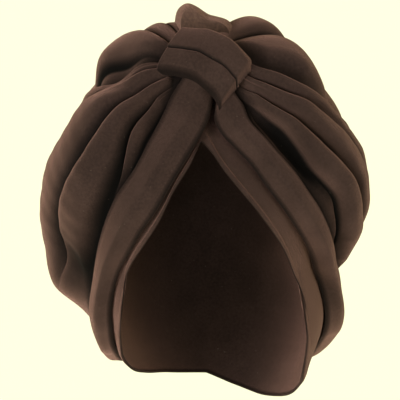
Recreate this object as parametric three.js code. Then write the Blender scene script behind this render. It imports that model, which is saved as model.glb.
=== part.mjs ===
// Turban headwrap: a close cap with a loose pleated cover gathered under a knot band.
// Millimetres. +Z up, the face looks along -Y, +X is the right side of a front view.
// The origin is the seat: the top of the head inside the cap.
import * as THREE from 'three';

// Named sizes, in millimetres
const HEAD_BREADTH = 156;
const HEAD_LENGTH = 194;
const CAP_WALL = 1.8;
const HEM_FOLD = 1.2;
const HEM_FOLD_WIDTH = 14;
const CENTRE_DROP = 85;
const CAP_TOP = 1.8;
const CAP_DROP = 172;
const PUFF_BREADTH = 198;
const PUFF_FRONT = 102;
const PUFF_BACK = 112;
const PUFF_UP = 127;
const PUFF_DOWN = 108;
const CLOTH = 2.2;
const GAP = 0.6;
const RISE_START = 15;
const RISE_RANGE = 46;
const PLEAT_HEIGHT = 13;
const KNOT_ARCH = 2.5;
const TUFT_HEIGHT = 9;
const KNOT_TILT = 35;
const SIDE_LEAN = 20;
const NECK_FLARE = 20;
const BUNDLE = 8;
const DRAPE_LIFT = 3;
const BAND_LIFT = 3;
const KNOT_LIFT = 5.3;
const KNOT_EDGE = 5.5;

// The fold directions are angles about an axis through the knot: lon 0 is the face,
// -90 the left of a front view, 180 the crown; lat runs from the knot down to the neck.
// Hem of the cap, a row per point
const HEM = [
  { lon: -180, lat: 159 },
  { lon: -145, lat: 160 },
  { lon: -110, lat: 159.5 },
  { lon: -80, lat: 154.5 },
  { lon: -58, lat: 142 },
  { lon: -46, lat: 129 },
  { lon: -40, lat: 115 },
  { lon: -37, lat: 104 },
  { lon: -33, lat: 94 },
  { lon: -27, lat: 82 },
  { lon: -21, lat: 68 },
  { lon: -17, lat: 53 },
  { lon: -11, lat: 38 },
  { lon: -6, lat: 25 },
  { lon: 4, lat: 31 },
  { lon: 11, lat: 42 },
  { lon: 17, lat: 52 },
  { lon: 23, lat: 63 },
  { lon: 29, lat: 75 },
  { lon: 35, lat: 88 },
  { lon: 40, lat: 101 },
  { lon: 45, lat: 112 },
  { lon: 49, lat: 123 },
  { lon: 55.5, lat: 135 },
  { lon: 65, lat: 145 },
  { lon: 81, lat: 152 },
  { lon: 97, lat: 157 },
  { lon: 126, lat: 160 },
  { lon: 155, lat: 160 },
  { lon: 180, lat: 159 },
];

// Brow bands, a row per section from the knot to the nape: front edge, back edge,
// and how far it stands out
const BAND_LEFT = [
  { lon0: 25, lat0: 5, lon1: -140, lat1: 6, out: 0 },
  { lon0: 2, lat0: 13, lon1: -66, lat1: 13, out: 0 },
  { lon0: -8, lat0: 22, lon1: -52, lat1: 20, out: 0 },
  { lon0: -14, lat0: 37, lon1: -41, lat1: 34, out: 0 },
  { lon0: -19, lat0: 51, lon1: -39, lat1: 47, out: 0 },
  { lon0: -23, lat0: 64, lon1: -41, lat1: 59, out: 0 },
  { lon0: -29, lat0: 77, lon1: -44, lat1: 72, out: 0 },
  { lon0: -34, lat0: 89, lon1: -48, lat1: 86, out: 0 },
  { lon0: -40, lat0: 101, lon1: -52, lat1: 99, out: 0 },
  { lon0: -44, lat0: 111, lon1: -57, lat1: 111, out: 0 },
  { lon0: -48, lat0: 121, lon1: -63, lat1: 122, out: 0 },
  { lon0: -54, lat0: 133, lon1: -73, lat1: 132, out: 1 },
  { lon0: -66, lat0: 145, lon1: -86, lat1: 141, out: 2 },
  { lon0: -88, lat0: 152, lon1: -104, lat1: 145, out: 3 },
  { lon0: -113, lat0: 155, lon1: -127, lat1: 145, out: 2 },
  { lon0: -146, lat0: 156, lon1: -153, lat1: 144, out: 0 },
  { lon0: -179.4, lat0: 155, lon1: -179.4, lat1: 142, out: 0 },
];
const BAND_RIGHT = [
  { lon0: 50, lat0: 5.5, lon1: 120, lat1: 6, out: 0 },
  { lon0: 19, lat0: 11, lon1: 58, lat1: 11, out: 0 },
  { lon0: 15, lat0: 16, lon1: 49, lat1: 17, out: 0 },
  { lon0: 19, lat0: 22, lon1: 46, lat1: 24, out: 0 },
  { lon0: 23, lat0: 31, lon1: 46, lat1: 33, out: 0 },
  { lon0: 28, lat0: 41, lon1: 47, lat1: 42, out: 0 },
  { lon0: 31, lat0: 52, lon1: 49, lat1: 52, out: 0 },
  { lon0: 36, lat0: 64, lon1: 51, lat1: 65, out: 0 },
  { lon0: 42, lat0: 77, lon1: 54, lat1: 79, out: 0 },
  { lon0: 49, lat0: 90, lon1: 59, lat1: 91, out: 1 },
  { lon0: 57, lat0: 104, lon1: 67, lat1: 104, out: 2 },
  { lon0: 65, lat0: 116, lon1: 78, lat1: 116, out: 4 },
  { lon0: 71, lat0: 127, lon1: 90, lat1: 126, out: 5 },
  { lon0: 81, lat0: 138, lon1: 104, lat1: 134, out: 5 },
  { lon0: 100, lat0: 149, lon1: 120, lat1: 140, out: 4 },
  { lon0: 128, lat0: 154, lon1: 138, lat1: 142, out: 2 },
  { lon0: 155, lat0: 155, lon1: 158, lat1: 142, out: 1 },
  { lon0: 179.4, lat0: 155, lon1: 179.4, lat1: 142, out: 0 },
];

// Side drapes, a row per section from the knot down: tucked front edge, then rim
const DRAPE_LEFT = [
  { lon0: -60, lat0: 8, lon1: -112, lat1: 9 },
  { lon0: -44, lat0: 20, lon1: -99, lat1: 19 },
  { lon0: -36, lat0: 33, lon1: -95, lat1: 29 },
  { lon0: -34, lat0: 46, lon1: -96, lat1: 42 },
  { lon0: -36, lat0: 60, lon1: -99, lat1: 57 },
  { lon0: -40, lat0: 75, lon1: -101, lat1: 74 },
  { lon0: -43, lat0: 90, lon1: -102, lat1: 92 },
  { lon0: -48, lat0: 106, lon1: -103, lat1: 108 },
  { lon0: -57, lat0: 121, lon1: -104, lat1: 125 },
  { lon0: -80, lat0: 137, lon1: -108, lat1: 143 },
];
const DRAPE_RIGHT = [
  { lon0: 46, lat0: 9, lon1: 130, lat1: 10 },
  { lon0: 42, lat0: 19, lon1: 99, lat1: 19 },
  { lon0: 41, lat0: 31, lon1: 88, lat1: 31 },
  { lon0: 43, lat0: 44, lon1: 90, lat1: 44 },
  { lon0: 45, lat0: 58, lon1: 94, lat1: 58 },
  { lon0: 49, lat0: 73, lon1: 97, lat1: 74 },
  { lon0: 54, lat0: 88, lon1: 98, lat1: 92 },
  { lon0: 62, lat0: 103, lon1: 99, lat1: 108 },
  { lon0: 74, lat0: 118, lon1: 103, lat1: 124 },
  { lon0: 95, lat0: 137, lon1: 118, lat1: 143 },
];

// Lower end of the crown, tucked under the bands, a row per direction
const CROWN_END = [
  { lon: -66, lat: 124 },
  { lon: -80, lat: 136 },
  { lon: -103, lat: 146 },
  { lon: -128, lat: 148.5 },
  { lon: -155, lat: 148 },
  { lon: -180, lat: 146.5 },
  { lon: -205, lat: 147 },
  { lon: -230, lat: 147 },
  { lon: -250, lat: 142 },
  { lon: -268, lat: 130 },
  { lon: -280, lat: 121 },
  { lon: -290, lat: 112 },
];

// Folds, a row per fold: its front groove as a share of the way across at the knot,
// the brow, the side and the end, its height as a share of PLEAT_HEIGHT, and its lean
const FOLDS_LEFT = [
  { name: 'tuck', knot: 0, brow: 0, side: 0, end: 0, high: 0, lean: 0 },
  { name: 'narrow one', knot: 0.2, brow: 0.08, side: 0.02, end: 0.02, high: 0.4, lean: 0 },
  { name: 'narrow two', knot: 0.48, brow: 0.2, side: 0.05, end: 0.05, high: 0.5, lean: 0 },
  { name: 'broad', knot: 0.62, brow: 0.36, side: 0.09, end: 0.12, high: 0.95, lean: 0.12 },
  { name: 'middle', knot: 0.74, brow: 0.54, side: 0.35, end: 0.46, high: 0.85, lean: -0.12 },
  { name: 'outer', knot: 0.9, brow: 0.86, side: 0.76, end: 0.8, high: 0.5, lean: -0.1 },
  { name: 'rim', knot: 1, brow: 1, side: 1, end: 1, high: 0, lean: 0 },
];
const FOLDS_RIGHT = [
  { name: 'tuck', knot: 0, brow: 0, side: 0, end: 0, high: 0, lean: 0 },
  { name: 'hollow', knot: 0.05, brow: 0.06, side: 0.05, end: 0.03, high: -0.5, lean: 0 },
  { name: 'inner roll', knot: 0.27, brow: 0.28, side: 0.21, end: 0.1, high: 1, lean: -0.05 },
  { name: 'middle roll', knot: 0.57, brow: 0.6, side: 0.5, end: 0.4, high: 0.9, lean: -0.1 },
  { name: 'outer roll', knot: 0.78, brow: 0.82, side: 0.76, end: 0.66, high: 0.8, lean: -0.1 },
  { name: 'rim', knot: 1, brow: 1, side: 1, end: 1, high: 0, lean: 0 },
];
const FOLDS_CROWN = [
  { name: 'left tuck', knot: 0, brow: 0, side: 0, end: 0, high: 0, lean: 0 },
  { name: 'left petal', knot: 0.2, brow: 0.21, side: 0.2, end: 0.24, high: 1, lean: 0.1 },
  { name: 'twist one', knot: 0.31, brow: 0.32, side: 0.32, end: 0.33, high: 0.7, lean: -0.1 },
  { name: 'twist two', knot: 0.37, brow: 0.38, side: 0.39, end: 0.39, high: 0.6, lean: -0.1 },
  { name: 'back one', knot: 0.42, brow: 0.44, side: 0.46, end: 0.45, high: 0.6, lean: 0 },
  { name: 'back two', knot: 0.48, brow: 0.5, side: 0.53, end: 0.52, high: 0.6, lean: 0 },
  { name: 'rear roll', knot: 0.53, brow: 0.57, side: 0.62, end: 0.6, high: 0.9, lean: 0.1 },
  { name: 'right roll', knot: 0.63, brow: 0.74, side: 0.79, end: 0.75, high: 1, lean: 0.1 },
  { name: 'right tuck', knot: 0.8, brow: 0.91, side: 0.9, end: 0.86, high: 0, lean: 0 },
  { name: 'end', knot: 1, brow: 1, side: 1, end: 1, high: 0, lean: 0 },
];
const FOLD_PLACES = [0, 0.2, 0.5, 1];

// Knot band, a row per section along it: lower edge, upper edge, height as a share of KNOT_ARCH
const KNOT = [
  { lon0: -88, lat0: 17, lon1: -150, lat1: 15, high: -0.1 },
  { lon0: -87, lat0: 15, lon1: -156, lat1: 14, high: 0.3 },
  { lon0: -84, lat0: 10, lon1: -172, lat1: 13.5, high: 0.8 },
  { lon0: -60, lat0: 4.6, lon1: 168, lat1: 13.5, high: 1 },
  { lon0: 12, lat0: 7.2, lon1: 140, lat1: 13.5, high: 0.8 },
  { lon0: 20, lat0: 11.5, lon1: 106, lat1: 14, high: 0.3 },
  { lon0: 20, lat0: 13.5, lon1: 92, lat1: 15.5, high: -0.1 },
];

// Hollows and bulges of the whole cover, a row per place: share taken off the fullness
const PLACES = [
  { name: 'left hollow', lon: -57, lat: 97, wide: 9, long: 17, share: 0.8 },
  { name: 'right hollow', lon: 50, lat: 52, wide: 8, long: 22, share: 0.3 },
  { name: 'under petal', lon: -92, lat: 30, wide: 12, long: 9, share: 0.35 },
  { name: 'left bag', lon: -85, lat: 100, wide: 26, long: 26, share: -0.08 },
  { name: 'low left bag', lon: -86, lat: 116, wide: 22, long: 12, share: -0.45 },
  { name: 'left shoulder', lon: -110, lat: 54, wide: 22, long: 12, share: 0.45 },
  { name: 'right shoulder', lon: 113, lat: 50, wide: 24, long: 13, share: 0.5 },
  { name: 'right waist', lon: 80, lat: 100, wide: 24, long: 14, share: 0.6 },
  { name: 'petal', lon: -120, lat: 43, wide: 13, long: 8, share: -0.13 },
  { name: 'twist', lon: -155, lat: 32, wide: 14, long: 7, share: -0.05 },
  { name: 'rear roll', lon: 140, lat: 30, wide: 18, long: 8, share: -0.13 },
];

const RAD = Math.PI / 180;
const CENTRE = new THREE.Vector3(0, 0, -CENTRE_DROP);

const ease = (x) => {
  const u = Math.min(1, Math.max(0, x));
  return u * u * (3 - 2 * u);
};

// Smooth curve through a column of values at the given places
function along(places, values, s) {
  const n = places.length;
  let i = 0;
  while (i < n - 2 && s > places[i + 1]) i += 1;
  const slope = (k) => {
    const a = Math.max(0, k - 1);
    const b = Math.min(n - 1, k + 1);
    return (values[b] - values[a]) / (places[b] - places[a]);
  };
  const h = places[i + 1] - places[i];
  const u = Math.min(1, Math.max(0, (s - places[i]) / h));
  const u2 = u * u;
  const u3 = u2 * u;
  return values[i] * (2 * u3 - 3 * u2 + 1) + slope(i) * h * (u3 - 2 * u2 + u)
    + values[i + 1] * (3 * u2 - 2 * u3) + slope(i + 1) * h * (u3 - u2);
}

// Plane chart about the knot: distance is lat, bearing is lon
const chart = (lon, lat) => [lat * Math.sin(lon * RAD), lat * Math.cos(lon * RAD)];

function direction(lon, lat) {
  const tilt = KNOT_TILT * RAD * (1 - lat / 180);
  const x = Math.sin(lat * RAD) * Math.sin(lon * RAD);
  const y = -Math.sin(lat * RAD) * Math.cos(lon * RAD);
  const z = Math.cos(lat * RAD);
  return new THREE.Vector3(
    x,
    y * Math.cos(tilt) - z * Math.sin(tilt),
    z * Math.cos(tilt) + y * Math.sin(tilt),
  );
}

function oval(d, half, front, back, up, down, power) {
  const p = 2 + (power - 2) * ease((d.z + 0.25) / 0.5);
  const height = down + (up - down) * ease((d.z + 0.2) / 0.4);
  const sum = (Math.abs(d.x) / half) ** p
    + (Math.abs(d.y) / (d.y < 0 ? front : back)) ** p
    + (Math.abs(d.z) / height) ** p;
  return sum ** (-1 / p);
}

// Outside of the cap, standing on the head form
function capRadius(d) {
  const flat = Math.hypot(d.x, d.y) + 1e-6;
  const down = CAP_DROP + SIDE_LEAN * d.x / flat - 0.5 * SIDE_LEAN * d.y / flat;
  const long = HEAD_LENGTH / 2 + CAP_WALL;
  const side = d.x > 0 ? NECK_FLARE : -0.28 * NECK_FLARE;
  const flare = ease((-d.z - 0.4) / 0.35) * side * d.x;
  return flare + oval(d, HEAD_BREADTH / 2 + CAP_WALL, long, long, CENTRE_DROP + CAP_TOP, down, 2);
}

function puffRadius(d) {
  const flat = Math.hypot(d.x, d.y) + 1e-6;
  const down = PUFF_DOWN * (1 - 0.3 * d.x / flat + 0.12 * d.y / flat);
  return oval(d, PUFF_BREADTH / 2, PUFF_FRONT, PUFF_BACK, PUFF_UP, down, 2.3);
}

const HEM_RAYS = HEM.map((row) => direction(row.lon, row.lat));
const POLE = direction(0, 0);

// Distance from the hem, along the head, in millimetres
function fromHem(d) {
  let best = Math.PI;
  for (let k = 0; k + 1 < HEM_RAYS.length; k += 1) {
    const a = HEM_RAYS[k];
    const ab = HEM_RAYS[k + 1].clone().sub(a);
    const share = Math.min(1, Math.max(0, d.clone().sub(a).dot(ab) / ab.lengthSq()));
    best = Math.min(best, d.angleTo(a.clone().addScaledVector(ab, share)));
  }
  return best * HEAD_LENGTH / 2;
}

// How full the cover stands away from the cap, 0 at the hem
function fullness(lon, lat, d) {
  const reach = d.x > 0 ? 5 * d.x : 0;
  let full = ease((fromHem(d) - RISE_START + reach) / RISE_RANGE);
  full *= 1 - 0.12 * Math.exp(-((d.angleTo(POLE) / RAD / 20) ** 2));
  for (const place of PLACES) {
    const dl = (((lon - place.lon + 540) % 360) - 180) * Math.sin(lat * RAD);
    full *= 1 - place.share * Math.exp(-((dl / place.wide) ** 2) - (((lat - place.lat) / place.long) ** 2));
  }
  return full;
}

// Radius of the inside of the cover: cap plus fullness
function baseRadius(lon, lat, d) {
  const cap = capRadius(d);
  const room = puffRadius(d) - cap;
  const soft = 0.5 * (room + Math.hypot(room, 6));
  const bundle = BUNDLE * Math.exp(-((d.angleTo(POLE) / RAD / 14) ** 2));
  return cap + soft * fullness(lon, lat, d) + bundle;
}

// One cloth shell from a grid of {lon, lat, high, wall}; high is above the base
function shell(name, rows, material) {
  const outer = [];
  const inner = [];
  for (const row of rows) {
    outer.push(row.map((q) => q.outer));
    inner.push(row.map((q) => q.inner));
  }
  const ns = rows.length;
  const nt = rows[0].length;
  const points = [];
  const triangles = [];
  const at = (layer, i, j) => layer * ns * nt + i * nt + j;
  for (const layer of [outer, inner]) {
    for (const row of layer) {
      for (const p of row) points.push(p.x, p.y, p.z);
    }
  }
  const quad = (a, b, c, d) => triangles.push(a, b, c, a, c, d);
  for (let i = 0; i + 1 < ns; i += 1) {
    for (let j = 0; j + 1 < nt; j += 1) {
      quad(at(0, i, j), at(0, i + 1, j), at(0, i + 1, j + 1), at(0, i, j + 1));
      quad(at(1, i, j), at(1, i, j + 1), at(1, i + 1, j + 1), at(1, i + 1, j));
    }
  }
  for (let i = 0; i + 1 < ns; i += 1) {
    quad(at(0, i, 0), at(1, i, 0), at(1, i + 1, 0), at(0, i + 1, 0));
    quad(at(0, i, nt - 1), at(0, i + 1, nt - 1), at(1, i + 1, nt - 1), at(1, i, nt - 1));
  }
  for (let j = 0; j + 1 < nt; j += 1) {
    quad(at(0, 0, j), at(0, 0, j + 1), at(1, 0, j + 1), at(1, 0, j));
    quad(at(0, ns - 1, j), at(1, ns - 1, j), at(1, ns - 1, j + 1), at(0, ns - 1, j + 1));
  }
  return solid(name, points, triangles, material);
}

// Closed mesh with its faces turned outward
function solid(name, points, triangles, material) {
  let volume = 0;
  const v = (k) => new THREE.Vector3(points[3 * k], points[3 * k + 1], points[3 * k + 2]);
  for (let k = 0; k < triangles.length; k += 3) {
    volume += v(triangles[k]).dot(v(triangles[k + 1]).cross(v(triangles[k + 2])));
  }
  if (volume < 0) {
    for (let k = 0; k < triangles.length; k += 3) {
      [triangles[k + 1], triangles[k + 2]] = [triangles[k + 2], triangles[k + 1]];
    }
  }
  const geometry = new THREE.BufferGeometry();
  geometry.setAttribute('position', new THREE.Float32BufferAttribute(points, 3));
  geometry.setIndex(triangles);
  geometry.computeVertexNormals();
  const mesh = new THREE.Mesh(geometry, material);
  mesh.name = name;
  return mesh;
}

function place(d, radius) {
  return CENTRE.clone().addScaledVector(d, radius);
}

// Layers over the cap near the hem: crown, then drape, then band
const LAYER = CLOTH + GAP;

const foldRows = (folds, s) => folds.map((f) => along(FOLD_PLACES, [f.knot, f.brow, f.side, f.end], s));

// Grid columns that follow the folds: several per fold, closer near the grooves
function foldColumns(folds, steps) {
  const columns = [];
  folds.slice(0, -1).forEach((fold, k) => {
    const cuts = fold.high === 0 ? [0, 0.5] : steps;
    for (const u of cuts) columns.push({ k, u });
  });
  columns.push({ k: folds.length - 2, u: 1 });
  return columns;
}

// Share across and relief of a fold column at s
function foldPoint(folds, grooves, column, swell) {
  const { k, u } = column;
  const fold = folds[k];
  const width = grooves[k + 1] - grooves[k];
  const arch = (1 - Math.abs(2 * u - 1) ** 2.6) * ease(width / 0.16);
  return {
    t: grooves[k] + width * (u + fold.lean * arch * Math.abs(Math.sign(fold.high)) * swell),
    high: fold.high * PLEAT_HEIGHT * arch * swell,
  };
}

const sectionChart = (rows, s) => {
  const places = rows.map((row, k) => k / (rows.length - 1));
  const edge = (lon, lat) => rows.map((row) => chart(row[lon], row[lat]));
  const front = edge('lon0', 'lat0');
  const back = edge('lon1', 'lat1');
  const pick = (list, k) => along(places, list.map((p) => p[k]), s);
  return [pick(front, 0), pick(front, 1), pick(back, 0), pick(back, 1)];
};

const mix = (a, b, t) => a + (b - a) * t;

function chartDirection(a, b) {
  const lat = Math.hypot(a, b);
  const lon = Math.atan2(a, b) / RAD;
  return { lon, lat, d: direction(lon, lat) };
}

// How far across the cover is clear of the edge that lies over it, in degrees of lon
function clearOf(sections, lon, lat) {
  let k = 0;
  while (k < sections.length - 2 && sections[k + 2].lat1 > sections[k + 1].lat1 && lat > sections[k + 1].lat1) k += 1;
  const a = sections[k];
  const b = sections[k + 1];
  const share = Math.min(1, Math.max(0, (lat - a.lat1) / (b.lat1 - a.lat1)));
  return (Math.abs(lon) - Math.abs(mix(a.lon1, b.lon1, share))) * Math.min(1, 1.6 * Math.sin(lat * RAD));
}

// Height of a drape or crown over the base, kept low where it's tucked in
function drape(name, sections, over, folds, layer, nRows, steps, material) {
  const rows = [];
  const columns = foldColumns(folds, steps);
  for (let i = 0; i <= nRows; i += 1) {
    const s = i / nRows;
    const [fa, fb, ba, bb] = sectionChart(sections, s);
    const grooves = foldRows(folds, s);
    const swell = (0.35 + 0.65 * ease(s / 0.3)) * (1 - ease((s - 0.72) / 0.22));
    rows.push(columns.map((column) => {
      const p = foldPoint(folds, grooves, column, swell);
      const c = chartDirection(mix(fa, ba, p.t), mix(fb, bb, p.t));
      const free = ease((clearOf(over, c.lon, c.lat) - 0.5) / 6);
      const sunk = p.high < 0 ? 1 - ease((s - 0.4) / 0.12) : 1;
      const radius = baseRadius(c.lon, c.lat, c.d) + DRAPE_LIFT + LAYER * layer + p.high * free * sunk;
      return { outer: place(c.d, radius + CLOTH), inner: place(c.d, radius) };
    }));
  }
  return shell(name, rows, material);
}

function crown(name, material) {
  const rows = [];
  const nRows = 20;
  const columns = foldColumns(FOLDS_CROWN, [0, 0.14, 0.38, 0.62, 0.86]);
  const first = CROWN_END[0].lon;
  const last = CROWN_END[CROWN_END.length - 1].lon;
  for (let i = 0; i <= nRows; i += 1) {
    const s = i / nRows;
    const grooves = foldRows(FOLDS_CROWN, s);
    const swell = (0.3 + 0.7 * ease(s / 0.18)) * (1 - 0.999 * ease((s - 0.84) / 0.11));
    rows.push(columns.map((column) => {
      const p = foldPoint(FOLDS_CROWN, grooves, column, swell);
      const lon = mix(first, last, p.t);
      const end = along(CROWN_END.map((row) => -row.lon), CROWN_END.map((row) => row.lat), -lon);
      const lat = mix(9, end, s);
      const d = direction(lon, lat);
      const left = clearOf(DRAPE_LEFT, lon, lat);
      const right = clearOf(DRAPE_RIGHT, 360 + lon, lat);
      const free = lon > -180 ? ease((left - 4.5) / 9) : ease((right - 4.5) / 9);
      const radius = baseRadius(lon, lat, d) + 2 * GAP + p.high * free;
      return { outer: place(d, radius + CLOTH), inner: place(d, radius) };
    }));
  }
  return shell(name, rows, material);
}

// A flat band: low over the cap at its front edge, on top of the drapes at its back edge
function band(name, sections, material) {
  const rows = [];
  const nRows = 30;
  const cuts = [0, 0.12, 0.35, 0.6, 0.85, 1];
  const places = sections.map((row, k) => k / (sections.length - 1));
  for (let i = 0; i <= nRows; i += 1) {
    const s = i / nRows;
    const [fa, fb, ba, bb] = sectionChart(sections, s);
    const over = 1 - 0.55 * ease((0.22 - s) / 0.2);
    const nape = 1 - 0.6 * ease((s - 0.86) / 0.1);
    const out = Math.max(0, along(places, sections.map((row) => row.out), s));
    rows.push(cuts.map((t) => {
      const c = chartDirection(mix(fa, ba, t), mix(fb, bb, t));
      const lift = GAP + HEM_FOLD + (2 * LAYER - HEM_FOLD + BAND_LIFT) * nape * mix(1, ease(t / 0.5), over);
      const pillow = 2.2 * (1 - (2 * t - 1) ** 2);
      const radius = baseRadius(c.lon, c.lat, c.d) + lift + pillow + out * ease(t / 0.4);
      return { outer: place(c.d, radius + CLOTH), inner: place(c.d, radius) };
    }));
  }
  return shell(name, rows, material);
}

function knotBand(name, material) {
  const rows = [];
  const nRows = 18;
  const cuts = [0, 0.08, 0.25, 0.42, 0.52, 0.7, 0.9, 1];
  const highs = KNOT.map((row) => row.high);
  const places = KNOT.map((row, k) => k / (KNOT.length - 1));
  for (let i = 0; i <= nRows; i += 1) {
    const s = i / nRows;
    const [fa, fb, ba, bb] = sectionChart(KNOT, s);
    rows.push(cuts.map((t) => {
      const c = chartDirection(mix(fa, ba, t), mix(fb, bb, t));
      const step = t < 0.48 ? 0 : 1.1;
      const pillow = 3 * (1 - Math.abs(2 * t - 1) ** 2.5);
      const radius = baseRadius(c.lon, c.lat, c.d) + 3 * LAYER + KNOT_LIFT
        + KNOT_ARCH * along(places, highs, s) + pillow + step
        - KNOT_EDGE * ease((t - 0.75) / 0.25) * (1 - ease((s - 0.6) / 0.3));
      return { outer: place(c.d, radius + CLOTH), inner: place(c.d, radius) };
    }));
  }
  return shell(name, rows, material);
}

// The cap: a dome closed at the knot end, its edge folded double
function cap(name, material) {
  const nRows = 8;
  const nCols = 60;
  const lons = HEM.map((row) => row.lon);
  const places = HEM.map((row, k) => k / (HEM.length - 1));
  const points = [];
  const triangles = [];
  const rings = [];
  for (let i = 1; i <= nRows; i += 1) {
    for (let j = 0; j < nCols; j += 1) {
      const q = j / nCols;
      const lon = along(places, lons, q);
      const lat = along(places, HEM.map((row) => row.lat), q) * (i / nRows) ** 0.85;
      rings.push({ lon, lat, d: direction(lon, lat) });
    }
  }
  const layers = [0, 1];
  for (const layer of layers) {
    const tip = place(POLE, capRadius(POLE) - layer * CAP_WALL);
    points.push(tip.x, tip.y, tip.z);
    for (const ring of rings) {
      const fold = HEM_FOLD * (1 - ease(fromHem(ring.d) / HEM_FOLD_WIDTH));
      const p = place(ring.d, capRadius(ring.d) + (layer === 0 ? fold : -CAP_WALL));
      points.push(p.x, p.y, p.z);
    }
  }
  const size = 1 + rings.length;
  const at = (layer, i, j) => layer * size + (i === 0 ? 0 : 1 + (i - 1) * nCols + (j % nCols));
  for (let j = 0; j < nCols; j += 1) {
    triangles.push(at(0, 0, 0), at(0, 1, j), at(0, 1, j + 1));
    triangles.push(at(1, 0, 0), at(1, 1, j + 1), at(1, 1, j));
    for (let i = 1; i < nRows; i += 1) {
      triangles.push(at(0, i, j), at(0, i + 1, j), at(0, i + 1, j + 1));
      triangles.push(at(0, i, j), at(0, i + 1, j + 1), at(0, i, j + 1));
      triangles.push(at(1, i, j), at(1, i + 1, j + 1), at(1, i + 1, j));
      triangles.push(at(1, i, j), at(1, i, j + 1), at(1, i + 1, j + 1));
    }
    triangles.push(at(0, nRows, j), at(1, nRows, j), at(1, nRows, j + 1));
    triangles.push(at(0, nRows, j), at(1, nRows, j + 1), at(0, nRows, j + 1));
  }
  return solid(name, points, triangles, material);
}

// The small twisted end behind the knot: a hollow comma lying on the crown
const TUFT = [
  { lon0: -149, lat0: 19, lon1: -157, lat1: 27, high: 0 },
  { lon0: -152, lat0: 18, lon1: -163, lat1: 29, high: 0.75 },
  { lon0: -160, lat0: 17, lon1: -172, lat1: 29, high: 1 },
  { lon0: -171, lat0: 16.5, lon1: -179, lat1: 27, high: 0.75 },
  { lon0: -184, lat0: 16, lon1: -188, lat1: 24, high: 0.35 },
  { lon0: -198, lat0: 16, lon1: -198, lat1: 22, high: 0.2 },
  { lon0: -207, lat0: 16.5, lon1: -206, lat1: 20, high: 0 },
];

function tuft(name, material) {
  const rows = [];
  const nRows = 12;
  const cuts = [0, 0.15, 0.38, 0.62, 0.85, 1];
  const highs = TUFT.map((row) => row.high);
  const places = TUFT.map((row, k) => k / (TUFT.length - 1));
  for (let i = 0; i <= nRows; i += 1) {
    const s = i / nRows;
    const [fa, fb, ba, bb] = sectionChart(TUFT, s);
    rows.push(cuts.map((t) => {
      const c = chartDirection(mix(fa, ba, t), mix(fb, bb, t));
      const dome = (1 - Math.abs(2 * t - 1) ** 2.4) * Math.max(0, along(places, highs, s));
      const radius = baseRadius(c.lon, c.lat, c.d) + LAYER + GAP + 0.55 * PLEAT_HEIGHT + TUFT_HEIGHT * dome;
      return { outer: place(c.d, radius + CLOTH), inner: place(c.d, radius) };
    }));
  }
  return shell(name, rows, material);
}

const jersey = (hex) => new THREE.MeshStandardMaterial({ color: hex, roughness: 0.92, metalness: 0 });

const group = new THREE.Group();
group.name = 'turban_headwrap';
const STEPS = [0, 0.1, 0.3, 0.55, 0.8];
group.add(cap('fitted_cap', jersey(0x3f332b)));
group.add(crown('crown', jersey(0x43362e)));
group.add(drape('drape_left', DRAPE_LEFT, BAND_LEFT, FOLDS_LEFT, 1, 20, STEPS, jersey(0x42352d)));
group.add(drape('drape_right', DRAPE_RIGHT, BAND_RIGHT, FOLDS_RIGHT, 1, 20, STEPS, jersey(0x43362e)));
group.add(band('brow_band_left', BAND_LEFT, jersey(0x41342c)));
group.add(band('brow_band_right', BAND_RIGHT, jersey(0x42352d)));
group.add(knotBand('knot_band', jersey(0x45382f)));
group.add(tuft('top_tuft', jersey(0x5a473c)));

export default group;
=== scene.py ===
import math

import bpy
import numpy as np
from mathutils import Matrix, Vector


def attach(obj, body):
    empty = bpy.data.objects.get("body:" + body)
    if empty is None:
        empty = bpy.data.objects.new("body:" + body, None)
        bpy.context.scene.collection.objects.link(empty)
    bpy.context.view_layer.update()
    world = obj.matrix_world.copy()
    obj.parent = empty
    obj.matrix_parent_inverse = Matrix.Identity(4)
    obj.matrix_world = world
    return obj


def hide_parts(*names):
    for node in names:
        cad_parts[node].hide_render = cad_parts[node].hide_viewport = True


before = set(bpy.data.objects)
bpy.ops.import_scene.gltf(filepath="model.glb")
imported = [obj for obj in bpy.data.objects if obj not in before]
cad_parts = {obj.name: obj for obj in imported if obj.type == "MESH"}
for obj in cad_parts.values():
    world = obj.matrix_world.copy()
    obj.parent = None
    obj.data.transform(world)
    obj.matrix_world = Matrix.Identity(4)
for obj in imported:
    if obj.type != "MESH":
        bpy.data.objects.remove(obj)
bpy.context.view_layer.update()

bl_info = {
    "name": "Turban headwrap",
    "version": (1, 0, 0),
    "blender": (4, 5, 0),
    "location": "View3D > Sidebar > Headwrap",
    "description": "Dresses the turban headwrap in pleated jersey",
    "category": "Object",
}

RAD = math.pi / 180
TURN = 2 * math.pi

# Points are worked out in mm and degrees, and the meshes are in metres.
# Angles about an axis through the knot: lon 0 is the front, -90 the left of a front view,
# 180 the crown; lat runs from the knot down to the neck.
# s runs along a piece, row by row of its table, and t across it from its first edge.

# Cap
CENTRE_DROP = 85.0
TILT = 35.0
CAP_WALL = 1.8
CAP_TOP = 1.8
CAP_DROP = 172.0
SIDE_LEAN = 20.0
FACE_LEAN = 10.0
NECK_FLARE = 20.0
LEFT_FLARE_SHARE = 0.28
HEM_FOLD = 1.2
HEM_FOLD_WIDTH = 14.0
CAP_LIP = 1.1

# Loose cover: how far it reaches, how square it is, and how it rises off the hem
COVER_FRONT = 102.0
COVER_DOWN = 108.0
COVER_SQUARENESS = 2.3
RIGHT_RISE = 0.3
BACK_DROP = 0.12
RISE_START = 15.0
RISE_RANGE = 46.0
RIGHT_REACH = 5.0
ROOM_ROUNDING = 6.0
KNOT_DIP = 0.12
KNOT_DIP_ANGLE = 20.0
BUNDLE = 8.0
BUNDLE_ANGLE = 14.0

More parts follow.
